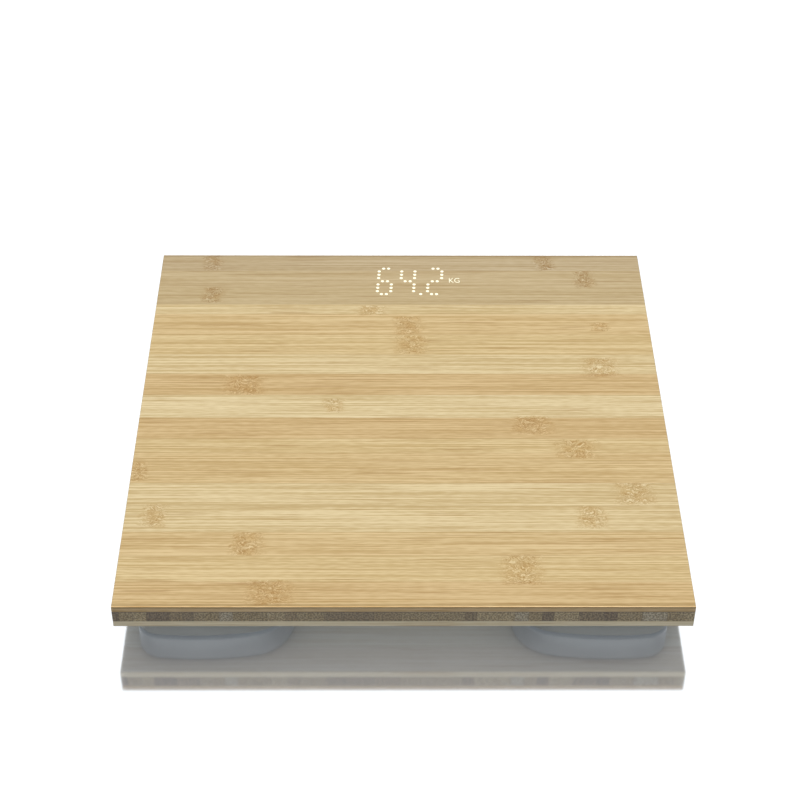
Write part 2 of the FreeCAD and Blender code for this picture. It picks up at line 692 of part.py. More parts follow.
def contact_springs():
    springs = []
    for i, y in enumerate(CELL_Y):
        side = 1 if i % 2 else -1
        coil = coil_spring(SPRING_L, SPRING_D, SPRING_WIRE_D, SPRING_HALF_TURNS)
        coil.rotate(V(0, 0, 0), V(0, 1, 0), 90)
        coil.translate(V(side * (BAY_HALF_X - CONTACT_T - SPRING_L / 2), y, CELL_Z))
        springs.append(coil)
    return group(springs)


def battery_leads():
    """Two leads, from the single contact plates through the bay's walls to the plugs."""
    leads = []
    bend_r = LEAD_BEND_SHARE * LEAD_OUT
    for side, y in ((-1, CELL_Y[0]), (1, CELL_Y[-1])):
        x0 = side * BAY_HALF_X
        x1 = x0 + side * LEAD_OUT
        points = [V(x0, y, LEAD_Z), V(x1, y, LEAD_Z), V(x1, PCB_Y0 + LEAD_PLUG_FROM_EDGE, LEAD_Z)]
        leads.append(tube(points, [bend_r], LEAD_D))
    return group(leads)


# ---------------------------------------------------------------- main board
def main_board():
    board = box(-PCB_HALF_X, PCB_HALF_X, PCB_Y0, PCB_Y1, BOARD_PCB_Z, PCB_TOP_Z)
    cuts = [disc(x, y, BOARD_PCB_Z, PCB_TOP_Z, BOSS_D + 2 * PART_GAP) for x, y in BOSSES]
    cuts += [disc(x, y, BOARD_PCB_Z, PCB_TOP_Z, BOARD_SCREW_D + 2 * HOLE_GAP) for x, y in STANDOFFS]
    return board.cut(cuts)


def board_screws():
    length = BOARD_SCREW_HEAD_H + BOARD_PCB_T + BOARD_SCREW_BITE
    one = screw(BOARD_SCREW_HEAD_D, BOARD_SCREW_HEAD_H, BOARD_SCREW_D, length, False)
    one = one.mirror(V(0, 0, 0), V(0, 0, 1))
    return group([placed(one, x, y, PCB_TOP_Z + BOARD_SCREW_HEAD_H) for x, y in STANDOFFS])


def board_components():
    """Chip, crystal, capacitors and the two lead plugs, standing on the main board."""
    mid_y = (PCB_Y0 + PCB_Y1) / 2
    top = PCB_TOP_Z
    chip_w, chip_h = CHIP
    parts = [square(0, mid_y, chip_w, top, top + chip_h)]
    w, d, h = CRYSTAL
    parts.append(rounded_block(chip_w, chip_w + w, mid_y - 2 * d, mid_y - d, top, top + h, 0.45 * d))
    cap_d, cap_h = CAPACITOR
    for y in (mid_y - cap_d / 2, mid_y + cap_d):
        parts.append(disc(-1.3 * chip_w, y, top, top + cap_h, cap_d))
    w, d, h = CHIP_RESISTOR
    for i in range(6):
        for x, y in ((-chip_w + 3 * w * i, mid_y + 4 * d), (-chip_w + 2.5 * w * i, mid_y - 6 * d)):
            parts.append(box(x, x + w, y, y + d, top, top + h))
    w, d, h = LEAD_PLUG
    y0 = PCB_Y0 + LEAD_PLUG_FROM_EDGE
    for side in (-1, 1):
        x = side * (BAY_HALF_X + LEAD_OUT)
        parts.append(box(x - w / 2, x + w / 2, y0, y0 + d, top, top + h))
    return group(parts)


def tact_switch():
    body = square(BUTTON_X, BUTTON_Y, SWITCH_W, SWITCH_Z, BOARD_PCB_Z)
    roof_z = BOARD_PCB_Z - SWITCH_ROOF_T
    well = disc(BUTTON_X, BUTTON_Y, SWITCH_Z, roof_z, PLUNGER_D + 2 * PLUNGER_GAP)
    return body.cut(well)


def switch_plunger():
    top = BOARD_PCB_Z - SWITCH_ROOF_T - BUTTON_TRAVEL - PLUNGER_GAP
    return disc(BUTTON_X, BUTTON_Y, SWITCH_Z - PLUNGER_REACH, top, PLUNGER_D)


def unit_button():
    """A round cap that shows under the housing, its flange inside and a stem to the switch."""
    flange_z = FLOOR_TOP_Z + FLANGE_GAP
    stem_z = SWITCH_Z - PLUNGER_REACH
    cap = disc(BUTTON_X, BUTTON_Y, HOUSING_FLOOR_Z - BUTTON_PROUD, flange_z, BUTTON_D)
    cap = cap.makeFillet(BUTTON_PROUD, level_edges(cap, HOUSING_FLOOR_Z - BUTTON_PROUD))
    flange = disc(BUTTON_X, BUTTON_Y, flange_z, flange_z + BUTTON_FLANGE_T, BUTTON_FLANGE_D)
    stem = disc(BUTTON_X, BUTTON_Y, flange_z, stem_z, BUTTON_STEM_D)
    return fuse_all([cap, flange, stem])


# ---------------------------------------------------------------- feet
def foot_mount(sx, sy):
    """Fixed half of a foot: a plate screwed to the board, hooks, and the load cell's cradle."""
    plate = foot_prism(FOOT_WALL + FOOT_SLIDE_GAP, MOUNT_Z, BOTTOM_Z)
    hook_z = LIP_Z - LIP_CLEAR - HOOK_TAB_H
    legs = foot_ring(HOOK_INSET, HOOK_INSET + HOOK_LEG_T, hook_z, MOUNT_Z)
    tabs = foot_ring(FOOT_WALL + FOOT_SLIDE_GAP, HOOK_INSET, hook_z, LIP_Z - LIP_CLEAR)
    hooks = fuse_all([legs, tabs]).common(foot_cross(HOOK_W, hook_z, MOUNT_Z))
    pocket_w = LOAD_CELL_W + 2 * LOAD_CELL_GAP
    cradle = square(-FOOT_X, -FOOT_Y, pocket_w + 2 * CRADLE_WALL, CRADLE_Z - LOAD_CELL_GRIP, MOUNT_Z)
    inner = square(-FOOT_X, -FOOT_Y, LOAD_CELL_W - 2 * LOAD_CELL_SEAT, CRADLE_Z - LOAD_CELL_GRIP, MOUNT_Z)
    pocket = square(-FOOT_X, -FOOT_Y, pocket_w, CRADLE_Z - LOAD_CELL_GRIP, CRADLE_Z)
    mount = fuse_all([plate, hooks, cradle.cut(inner).cut(pocket)])
    mount = at_corner(mount, sx, sy)

    cuts = []
    for x, y in foot_screw_places(sx, sy):
        cuts.append(Part.makeCone(WOOD_SCREW_HEAD_D / 2, WOOD_SCREW_D / 2, COUNTERSINK_H, V(x, y, MOUNT_Z)))
        cuts.append(disc(x, y, MOUNT_Z, BOTTOM_Z, WOOD_SCREW_D + 2 * THREAD_GAP))
    plan = wire_plan(sx, sy)
    along = (plan[1] - plan[0]).normalize()
    cuts.append(slot(plan[0], plan[0] + along * (WIRE_BEND_R / 2), CHANNEL_W, MOUNT_Z, BOTTOM_Z))
    return mount.cut(cuts)


def foot_shell():
    """Moving half of the front left foot: a cup with a boss, ribs, and lips over the hooks."""
    cup = foot_prism(0, FOOT_BOTTOM_Z, FOOT_TOP_Z)
    cup = cup.makeFillet(FOOT_RIM_R, level_edges(cup, FOOT_BOTTOM_Z))
    cup = cup.cut(foot_prism(FOOT_WALL, FOOT_FLOOR_Z, FOOT_TOP_Z))
    cup = cup.cut(foot_prism(PAD_INSET - PAD_GAP, FOOT_BOTTOM_Z, FOOT_BOTTOM_Z + PAD_SINK))
    lips = foot_ring(FOOT_WALL / 2, FOOT_WALL + LIP_REACH, LIP_Z, LIP_Z + LIP_H)
    lips = lips.common(foot_cross(LIP_W, LIP_Z, LIP_Z + LIP_H))
    boss = disc(-FOOT_X, -FOOT_Y, FOOT_FLOOR_Z, LOAD_CELL_Z, FOOT_BOSS_D)
    rib_top = FOOT_FLOOR_Z + FOOT_RIB_H
    ribs = foot_cross(FOOT_RIB_T, FOOT_FLOOR_Z, rib_top)
    ribs = ribs.common(foot_prism(FOOT_WALL / 2, FOOT_FLOOR_Z, rib_top))
    return fuse_all([cup, lips, boss, ribs])


def foot_pad():
    """Rubber pad let into the foot's underside, with straight grooves across its face."""
    pad = foot_prism(PAD_INSET, 0, FOOT_BOTTOM_Z + PAD_SINK)
    width, depth = PAD_GROOVE
    half = FOOT_SIZE / 2
    count = int((half - PAD_INSET) / PAD_GROOVE_PITCH)
    grooves = []
    for i in range(-count, count + 1):
        y = -FOOT_Y + PAD_GROOVE_PITCH * i
        grooves.append(box(-FOOT_X - half, -FOOT_X + half, y - width / 2, y + width / 2, 0, depth))
    return pad.cut(grooves)


def foot_screws():
    length = MOUNT_T + WOOD_SCREW_BITE
    one = screw(WOOD_SCREW_HEAD_D, COUNTERSINK_H, WOOD_SCREW_D, length, True)
    return group([placed(one, x, y, MOUNT_Z) for x, y in ALL_FOOT_SCREWS])


def load_cell(sx, sy):
    """A steel plate: an outer frame, with a tongue from its +Y side to the middle."""
    cx, cy = sx * FOOT_X, sy * FOOT_Y
    half = LOAD_CELL_W / 2
    z0, z1 = LOAD_CELL_Z, LOAD_CELL_Z + LOAD_CELL_T
    frame = rounded_block(cx - half, cx + half, cy - half, cy + half, z0, z1, LOAD_CELL_RIM / 2)
    frame = frame.cut(square(cx, cy, LOAD_CELL_W - 2 * LOAD_CELL_RIM, z0, z1))
    width, past_middle = LOAD_CELL_TONGUE
    tongue = box(cx - width / 2, cx + width / 2, cy - past_middle, cy + half - LOAD_CELL_RIM, z0, z1)
    return fuse_all([frame, tongue])


def strain_gauges():
    """The gauge on each load cell's tongue, under its cap of silicone."""
    width, length, height = GAUGE
    caps = []
    for sx, sy in CORNERS.values():
        x, y = sx * FOOT_X, sy * FOOT_Y
        cap = box(x - width / 2, x + width / 2, y - length / 2, y + length / 2, CRADLE_Z, CRADLE_Z + height)
        caps.append(cap.makeFillet(height / 2, level_edges(cap, CRADLE_Z + height)))
    return group(caps)


def load_cell_wires(sx, sy):
    """Three wires side by side, up from the tongue, along the channel, down to the board."""
    wires = []
    for step in (-1, 0, 1):
        plan = shifted(wire_plan(sx, sy), step * WIRE_PITCH)
        lift, down = V(0, 0, CRADLE_Z), V(0, 0, PCB_TOP_Z)
        high = V(0, 0, WIRE_Z)
        points = [plan[0] + lift] + [p + high for p in plan] + [plan[-1] + down]
        turns = [turn_r(*bend) for bend in zip(plan, plan[1:], plan[2:])]
        radii = [WIRE_BEND_R] + turns + [WIRE_BEND_R]
        wires.append(tube(points, radii, WIRE_D))
    return group(wires)


# ---------------------------------------------------------------- write the sub-parts
def all_nodes():
    nodes = {"top_ply": top_ply(), "display_cover": display_cover(), "core_ply": core_ply(),
             "bottom_ply": bottom_ply(), "channel_covers": channel_covers(),
             "dot_mask": dot_mask(), "led_board": led_board(), "led_chips": led_chips(),
             "display_header": display_header(), "electronics_housing": electronics_housing(),
             "battery_door": battery_door(), "housing_screws": housing_screws(),
             "contact_plates": contact_plates(), "contact_springs": contact_springs(),
             "battery_leads": battery_leads(), "main_board": main_board(),
             "board_screws": board_screws(), "board_components": board_components(),
             "tact_switch": tact_switch(), "switch_plunger": switch_plunger(),
             "unit_button": unit_button(), "foot_screws": foot_screws(),
             "strain_gauges": strain_gauges()}
    for i in range(CELL_COUNT):
        nodes[f"battery_{i + 1}"] = battery(i)
    shell, pad = foot_shell(), foot_pad()
    for corner, (sx, sy) in CORNERS.items():
        nodes[f"foot_mount_{corner}"] = foot_mount(sx, sy)
        nodes[f"foot_shell_{corner}"] = at_corner(shell, sx, sy)
        nodes[f"foot_pad_{corner}"] = at_corner(pad, sx, sy)
        nodes[f"load_cell_{corner}"] = load_cell(sx, sy)
        nodes[f"load_cell_wires_{corner}"] = load_cell_wires(sx, sy)
    return nodes


os.makedirs("parts", exist_ok=True)
for name, shape in all_nodes().items():
    if not shape.isValid():
        raise ValueError(f"{name} is not a valid shape")
    shape.exportStep(f"parts/{name}.step")
    print(f"{name}: {len(shape.Solids)} solid(s), {shape.Volume / 1000:.2f} cm3")
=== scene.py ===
"""A digital bathroom scale: a bamboo platform on four weighing feet, with a dot display."""

import json
import math

import bmesh
import bpy
from mathutils import Matrix, Vector


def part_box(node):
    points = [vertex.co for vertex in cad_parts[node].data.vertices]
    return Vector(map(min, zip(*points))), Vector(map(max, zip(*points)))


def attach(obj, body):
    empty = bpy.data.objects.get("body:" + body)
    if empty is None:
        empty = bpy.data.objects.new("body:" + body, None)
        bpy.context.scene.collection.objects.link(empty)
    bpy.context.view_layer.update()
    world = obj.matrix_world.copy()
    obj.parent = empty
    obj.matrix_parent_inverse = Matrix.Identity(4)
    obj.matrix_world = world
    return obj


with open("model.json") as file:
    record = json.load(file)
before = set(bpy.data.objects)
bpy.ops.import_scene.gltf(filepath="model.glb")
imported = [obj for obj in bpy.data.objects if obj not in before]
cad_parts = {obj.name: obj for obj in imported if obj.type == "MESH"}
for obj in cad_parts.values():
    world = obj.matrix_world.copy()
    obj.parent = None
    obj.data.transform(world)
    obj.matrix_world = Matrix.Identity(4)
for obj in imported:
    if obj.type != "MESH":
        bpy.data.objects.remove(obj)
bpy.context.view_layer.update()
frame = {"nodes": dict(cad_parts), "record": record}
NODES = frame["nodes"]
MM = 0.001

# ------------------------------------------------------------------ the scale's values
# Lengths and places are in millimetres, in the model's own frame.

HALF_BOARD = 150.0
ROUNDING_Z = 32.55  # under this height the board's sides are flat
UNDERSIDE_Z = 18.05
CORE_TOP_GLUE_Z = (28.5, 29.0)
STRIP_SEAM = 0.3
BLOCK_SEAM = 0.25

# Bamboo strips of the top face, from the front edge back: where each starts and its tone.
STRIPS = (
    (-150.0, "toasted"),
    (-132.8, "straw"),
    (-113.8, "honey"),
    (-96.1, "pale"),
    (-77.0, "pale"),
    (-59.5, "honey"),
    (-41.5, "honey"),
    (-34.8, "straw"),
    (-23.0, "toasted"),
    (-4.9, "cream"),
    (14.2, "toasted"),
    (33.8, "pale"),
    (51.2, "straw"),
    (70.0, "honey"),
    (89.2, "pale"),
    (99.0, "film warm"),
    (116.0, "film light"),
    (133.4, "film grey"),
)
TONES = {
    "cream": (220, 200, 154),
    "pale": (217, 196, 149),
    "straw": (214, 190, 140),
    "honey": (211, 185, 135),
    "toasted": (207, 179, 129),
    "film warm": (194, 173, 130),
    "film light": (195, 174, 132),
    "film grey": (191, 171, 133),
}
UNDER_PALER = (20, 34, 44)
UNDER_TONES = {
    tone: tuple(part + more for part, more in zip(colour, UNDER_PALER))
    for tone, colour in TONES.items()
}

# Layers of the bamboo's fibres, from broad to fine: size along and across the fibres, detail,
# roughness and weight. The weights add up to 1.
FIBRE_LAYERS = (
    ((260.0, 5.0, 5.0), 1.0, 0.5, 0.17),
    ((110.0, 1.1, 1.1), 1.0, 0.8, 0.17),
    ((100.0, 0.78, 0.78), 0.0, 0.5, 0.46),
    ((6.0, 0.75, 0.75), 0.0, 0.5, 0.20),
)
FIBRE_SPREAD = 0.16  # half the range of grain over which dark turns to light, at softness 1

# What a bamboo tone is multiplied by, in its fibres, its nodes and along the board's edges.
FIBRE_DARK = (0.83, 0.77, 0.67, 1.0)
FIBRE_LIGHT = (1.15, 1.18, 1.27, 1.0)
BUNDLE_BROWN = (0.58, 0.44, 0.28, 1.0)
KNOT_STAIN = (0.90, 0.80, 0.66, 1.0)
KNOT_PITH = (0.61, 0.46, 0.27, 1.0)
# Painted highlight on the raised crinkles of the stem's nodes.
KNOT_HIGHLIGHT = (1.22, 1.30, 1.50, 1.0)
PORE_DARK = (0.54, 0.50, 0.44, 1.0)
PORE_LIGHT = (1.50, 1.48, 1.40, 1.0)
SAWN_SIDE = (0.96, 1.0, 1.16, 1.0)
# Painted shade on the top face, in a band just inside the front and back rounding.
PAINTED_EDGE_SHADE = (0.76, 0.74, 0.70, 1.0)
# Painted highlight on the top rounding of the front and back edges.
PAINTED_RIM_HIGHLIGHT = (2.0, 2.05, 2.2, 1.0)
RAW_UNDERSIDE = (0.84, 0.86, 0.97, 1.0)
BROWNED_LINE = (0.30, 0.26, 0.20, 1.0)
STRIP_GLUE = (150, 118, 72)
CORE_GLUE = (88, 78, 64)

# Colours of plastic, metal, boards, cells, leads and lenses.
PLASTIC_SHADE = (0.90, 0.90, 0.91, 1.0)
METAL_SHADE = (0.72, 0.72, 0.73, 1.0)
DUST = (214, 210, 202)
SOLDER_MASK = (24, 82, 52)
MASKED_TRACK = (44, 118, 74)
CELL_WRAP = (52, 66, 84)
CELL_BAND = (176, 122, 74)
CELL_SCUFF = (30, 34, 40)
CELL_END = (196, 196, 192)
CELL_BAND_X = 8.0
CELL_END_X = 21.9
LEAD_RED = (186, 40, 34)
LEAD_BLACK = (38, 38, 40)
LEAD_SCUFF = (120, 110, 104)
LENS_PLASTIC = (120, 116, 104)
LENS_GLOW = ((255, 251, 218), (255, 255, 232))
LENS_LIGHT = 1.05

# Nodes of the bamboo stem in the top face: centre x, y and half size x, y.
SWIRLS = (
    (-18, 94, 10, 5),
    (4, 79, 10, 9),
    (6, 61, 11, 9),
    (-92, 24, 14, 9),
    (-39, 6, 6, 6),
    (117, 40, 12, 9),
    (120, 78, 7, 4),
    (74, -11, 13, 8),
    (98, -31, 13, 8),
    (127, -67, 12, 9),
    (102, -85, 9, 9),
    (62, -124, 12, 11),
    (-146, -49, 6, 8),
    (-134, -84, 8, 9),
    (-83, -105, 10, 9),
    (-69, -140, 14, 9),
)
FILM_SWIRLS = (
    (-118, 142, 7, 8),
    (-116, 109, 7, 8),
    (90, 142, 7, 8),
    (114, 125, 7, 9),
)

# Cross-laid blocks of the core: where each starts along x, and its tone.
CORE_BLOCKS = (
    (-150.0, "smoked"),
    (-146.6, "mid"),
    (-140.2, "light"),
    (-133.3, "smoked"),
    (-121.5, "brown"),
    (-113.8, "dark"),
    (-108.0, "mid"),
    (-95.0, "grey"),
    (-88.0, "mid"),
    (-71.4, "light"),
    (-61.6, "brown"),
    (-55.2, "mid"),
    (-41.9, "dark"),
    (-15.4, "brown"),
    (-1.8, "mid"),
    (30.6, "dark"),
    (37.5, "light"),
    (57.0, "grey"),
    (63.5, "mid"),
    (70.4, "smoked"),
    (76.8, "light"),
    (89.6, "dark"),
    (102.8, "smoked"),
    (109.2, "mid"),
    (122.0, "grey"),
    (135.7, "mid"),
    (143.6, "light"),
)
CORE_TONES = {
    "smoked": (112, 99, 80),
    "dark": (124, 111, 89),
    "brown": (134, 120, 95),
    "mid": (143, 130, 103),
    "light": (156, 143, 115),
    "grey": (158, 150, 131),
}

# Display: four columns for digits of dots, of which the last three are lit, a point and the
# unit. DOT_ROWS are the heights of a side segment's dots over the digit's middle.
DIGIT_X = (-28.15, -14.05, 0.05, 16.95)
DIGIT_Y = 122.9
DIGIT_W = 8.3
LENS_DIAMETER = 2.0
DOT_ROWS = (3.25, 6.65, 10.05)
BAR_Y = 12.95
BAR_X = 1.55
SLANT = 0.0545
POINT_X = 12.9
LENS_PROUD = 0.03
LENS_TAPER = 0.86
UNIT_X = (30.0, 36.5)
UNIT_Y = (121.5, 126.1)
SEGMENTS = {
    "6": "top upper_left middle lower_left lower_right bottom",
    "4": "upper_left middle upper_right lower_right",
    "2": "top upper_right middle lower_left bottom",
}
READING = (("6", 1), ("4", 2), ("2", 3))

# Stage: the floor lights what is over it, and the sky is dimmer as light than to the eye.
FLOOR_REACH = 12.0
FLOOR_GLOSS = 0.87
FLOOR_ROUGHNESS = 0.1
FLOOR_TINT = (0.93, 0.965, 1.0, 1.0)
FLOOR_LIFT = (0.034, 0.038, 0.049, 1.0)
FLOOR_BOUNCE = (0.185, 0.185, 0.185, 1.0)
SKY_LIGHT = 0.16
SKY_MIRRORED = 1.04
LAMP_SIZE = 5.0
LAMP_POWER = 115.0
LAMP_HEIGHT = 2.5

CAMERA_PLACE = (-8.96, -796.07, 739.98)
CAMERA_PITCH = 41.227
CAMERA_YAW = -0.555
CAMERA_ROLL = 0.39
CAMERA_LENS = 83.63
SENSOR = 36.0


# ------------------------------------------------------------------ node helpers
def linear(colour):
    """An 8-bit display colour as a scene-linear one."""
    parts = [c / 255 for c in colour]
    return (*(c / 12.92 if c < 0.04045 else ((c + 0.055) / 1.055) ** 2.4 for c in parts), 1.0)


def put(tree, socket, value):
    if isinstance(value, bpy.types.NodeSocket):
        tree.links.new(value, socket)
    else:
        socket.default_value = value


def add(tree, kind, inputs=None, **settings):
    """A node with its settings, and its inputs by name or number, linked or set."""
    node = tree.nodes.new(kind)
    for name, value in settings.items():
        setattr(node, name, value)
    for key, value in (inputs or {}).items():
        put(tree, node.inputs[key], value)
    return node


def maths(tree, operation, *values, clamp=False):
    inputs = dict(enumerate(values))
    return add(tree, "ShaderNodeMath", inputs, operation=operation, use_clamp=clamp).outputs[0]


def vector(tree, operation, *values):
    inputs = dict(enumerate(values))
    return add(tree, "ShaderNodeVectorMath", inputs, operation=operation)


def blended(tree, factor, first, second, blend="MIX"):
    inputs = {0: factor, 6: first, 7: second}
    return add(tree, "ShaderNodeMix", inputs, data_type="RGBA", blend_type=blend).outputs[2]


def tinted(tree, colour, tint):
    return blended(tree, 1.0, colour, tint, "MULTIPLY")


def graded(tree, value, low, high, start=0.0, end=1.0):
    """Goes smoothly from start to end as the value goes from low to high."""
    inputs = {0: value, 1: low, 2: high, 3: start, 4: end}
    return add(tree, "ShaderNodeMapRange", inputs, interpolation_type="SMOOTHSTEP").outputs[0]


def noise(tree, place, size, detail=2.0, roughness=0.5, distortion=0.0):
    """Noise whose lumps have this size in mm, one number or one for each axis."""
    sizes = size if isinstance(size, tuple) else (size,) * 3
    scaled = vector(tree, "DIVIDE", place, sizes).outputs[0]
    inputs = {"Vector": scaled, "Scale": 1.0, "Detail": detail, "Roughness": roughness}
    return add(tree, "ShaderNodeTexNoise", {**inputs, "Distortion": distortion})


def banded(tree, value, starts):
    """Constant bands of colour over the board; alpha tells neighbours apart."""
    span = 2 * HALF_BOARD
    factor = maths(tree, "DIVIDE", maths(tree, "ADD", value, HALF_BOARD), span)
    node = add(tree, "ShaderNodeValToRGB", {0: factor})
    node.color_ramp.interpolation = "CONSTANT"
    stops = node.color_ramp.elements
    stops.remove(stops[1])
    for i, (start, colour) in enumerate(starts):
        stop = stops.new((start + HALF_BOARD) / span) if i else stops[0]
        stop.color = (*colour[:3], (i * 7 % 11 + 1) / 12)
    return node


def group(name, inputs, outputs):
    """A new shader group: its tree, its inputs and its outputs by name."""
    tree = bpy.data.node_groups.new(name, "ShaderNodeTree")
    for label, kind in inputs:
        tree.interface.new_socket(label, in_out="INPUT", socket_type=f"NodeSocket{kind}")
    for label, kind in outputs:
        tree.interface.new_socket(label, in_out="OUTPUT", socket_type=f"NodeSocket{kind}")
    given = tree.nodes.new("NodeGroupInput").outputs
    return tree, given, tree.nodes.new("NodeGroupOutput").inputs


def place_in_mm(tree):
    where = add(tree, "ShaderNodeTexCoord").outputs["Object"]
    return vector(tree, "MULTIPLY", where, (1 / MM,) * 3).outputs[0]


def surface(name, **sockets):
    """A material with one Principled shader; returns both and the tree."""
    material = bpy.data.materials.new(name)
    material.use_nodes = True
    tree = material.node_tree
    shader = tree.nodes["Principled BSDF"]
    for label, value in sockets.items():
        put(tree, shader.inputs[label.replace("_", " ").title().replace("Ior", "IOR")], value)
    return material, tree, shader


def raise_bump(tree, shader, height, depth, strength=1.0):
    """Feeds a bump of this depth in mm to the shader's normal."""
    inputs = {"Height": height, "Strength": strength, "Distance": depth * MM}
    put(tree, shader.inputs["Normal"], add(tree, "ShaderNodeBump", inputs).outputs[0])


# ------------------------------------------------------------------ shared effects
def make_fibres():
    """Bamboo: fibres along X, in mm, swirled and speckled where Knot is above 0, with a
    painted highlight on the swirls' ridges.

    A larger Softness brings the dark and light fibres closer together.
    """
    tree, given, out = group(
        "bamboo_fibre",
        (
            ("Position", "Vector"),
            ("Tone", "Color"),
            ("Shift", "Float"),
            ("Knot", "Float"),
            ("Softness", "Float"),
        ),
        (("Color", "Color"), ("Height", "Float"), ("Roughness", "Float")),
    )
    shift = vector(tree, "MULTIPLY", given["Shift"], (1310.0, 470.0, 190.0)).outputs[0]
    place = vector(tree, "ADD", given["Position"], shift).outputs[0]
    push = noise(tree, place, 6.0, detail=3.0).outputs["Color"]
    push = vector(tree, "SUBTRACT", push, (0.5, 0.5, 0.5)).outputs[0]
    push = vector(tree, "MULTIPLY", push, given["Knot"]).outputs[0]
    push = vector(tree, "MULTIPLY", push, (14.0, 9.0, 0.0)).outputs[0]
    bent = vector(tree, "ADD", place, push).outputs[0]

    grain = 0.0
    for size, detail, roughness, weight in FIBRE_LAYERS:
        layer = noise(tree, bent, size, detail=detail, roughness=roughness).outputs[0]
        grain = maths(tree, "MULTIPLY_ADD", layer, weight, grain)
    spread = maths(tree, "MULTIPLY", given["Softness"], FIBRE_SPREAD)
    low = maths(tree, "SUBTRACT", 0.5, spread)
    high = maths(tree, "ADD", 0.5, spread)
    level = graded(tree, grain, low, high)
    dark = tinted(tree, given["Tone"], FIBRE_DARK)
    light = tinted(tree, given["Tone"], FIBRE_LIGHT)
    colour = blended(tree, level, dark, light)

    bundles = noise(tree, bent, (48.0, 0.75, 0.75), detail=0.5).outputs[0]
    bundles = graded(tree, bundles, 0.62, 0.72)
    brown = tinted(tree, given["Tone"], BUNDLE_BROWN)
    colour = blended(tree, maths(tree, "MULTIPLY", bundles, 0.50), colour, brown)

    crinkle = noise(tree, bent, (2.4, 1.3, 1.3), detail=2.0, roughness=0.7, distortion=1.0)
    crinkle = crinkle.outputs[0]
    lobes = noise(tree, place, (7.0, 6.0, 6.0), detail=1.0).outputs[0]
    ridge = maths(tree, "ABSOLUTE", maths(tree, "SUBTRACT", crinkle, 0.5))
    lines = graded(tree, ridge, 0.012, 0.075, 1.0, 0.0)
    # Painted highlight: the crinkle ridges of the nodes are lightened toward a pale
    # blue-white.
    crinkle_highlights = graded(tree, crinkle, 0.55, 0.63)
    knot_dark, knot_highlight = (
        maths(tree, "MULTIPLY", maths(tree, "MULTIPLY", part, given["Knot"]), strength)
        for part, strength in ((lines, 0.82), (crinkle_highlights, 0.65))
    )
    stain = tinted(tree, given["Tone"], KNOT_STAIN)
    stained = maths(tree, "MULTIPLY", given["Knot"], graded(tree, lobes, 0.42, 0.58))
    colour = blended(tree, maths(tree, "MULTIPLY", stained, 0.55), colour, stain)
    pith = tinted(tree, given["Tone"], KNOT_PITH)
    highlit_tone = tinted(tree, given["Tone"], KNOT_HIGHLIGHT)
    colour = blended(tree, knot_dark, colour, pith)
    colour = blended(tree, knot_highlight, colour, highlit_tone)

    height = maths(tree, "MULTIPLY", grain, 0.8)
    height = maths(tree, "MULTIPLY_ADD", crinkle, given["Knot"], height)
    tree.links.new(colour, out["Color"])
    tree.links.new(height, out["Height"])
    tree.links.new(graded(tree, grain, 0.3, 0.7, 0.52, 0.40), out["Roughness"])
    return tree


def make_knot_patch():
    """The greater of Before and a soft-ended patch round Centre that reaches Reach."""
    tree, given, out = group(
        "knot_patch",
        (
            ("Position", "Vector"),
            ("Centre", "Vector"),
            ("Reach", "Vector"),
            ("Before", "Float"),
        ),
        (("Mask", "Float"),),
    )
    away = vector(tree, "SUBTRACT", given["Position"], given["Centre"]).outputs[0]
    away = vector(tree, "DIVIDE", away, given["Reach"]).outputs[0]
    away = vector(tree, "ABSOLUTE", away).outputs[0]
    apart = add(tree, "ShaderNodeSeparateXYZ", {0: away}).outputs
    across = graded(tree, apart["Y"], 0.8, 1.08, 1.0, 0.0)
    along = graded(tree, apart["X"], 0.2, 1.2, 1.0, 0.0)
    patch = maths(tree, "MULTIPLY", across, along)
    tree.links.new(maths(tree, "MAXIMUM", given["Before"], patch), out["Mask"])
    return tree


def make_moulded():
    """Moulded plastic or rubber: a fine sand texture, slight clouding and soft dust."""
    tree, given, out = group(
        "moulded_skin",
        (("Position", "Vector"), ("Tone", "Color"), ("Grain", "Float"), ("Dust", "Float")),
        (("Color", "Color"), ("Height", "Float"), ("Roughness", "Float")),
    )
    scaled = vector(tree, "DIVIDE", given["Position"], given["Grain"]).outputs[0]
    sand = noise(tree, scaled, 1.0, detail=2.0, roughness=0.6).outputs[0]
    cloud = noise(tree, given["Position"], 24.0, detail=3.0).outputs[0]
    smear = noise(tree, given["Position"], (38.0, 7.0, 7.0), detail=4.0, roughness=0.65)
    smear = graded(tree, smear.outputs[0], 0.48, 0.72)
    smear = maths(tree, "MULTIPLY", smear, given["Dust"])
    deep = tinted(tree, given["Tone"], PLASTIC_SHADE)
    colour = blended(tree, graded(tree, cloud, 0.3, 0.7), deep, given["Tone"])
    colour = blended(tree, maths(tree, "MULTIPLY", sand, 0.12), colour, deep)
    colour = blended(tree, smear, colour, linear(DUST))
    rough = maths(tree, "MULTIPLY_ADD", smear, 0.5, graded(tree, cloud, 0.3, 0.7, 0.44, 0.54))
    tree.links.new(colour, out["Color"])
    tree.links.new(sand, out["Height"])
    tree.links.new(rough, out["Roughness"])
    return tree


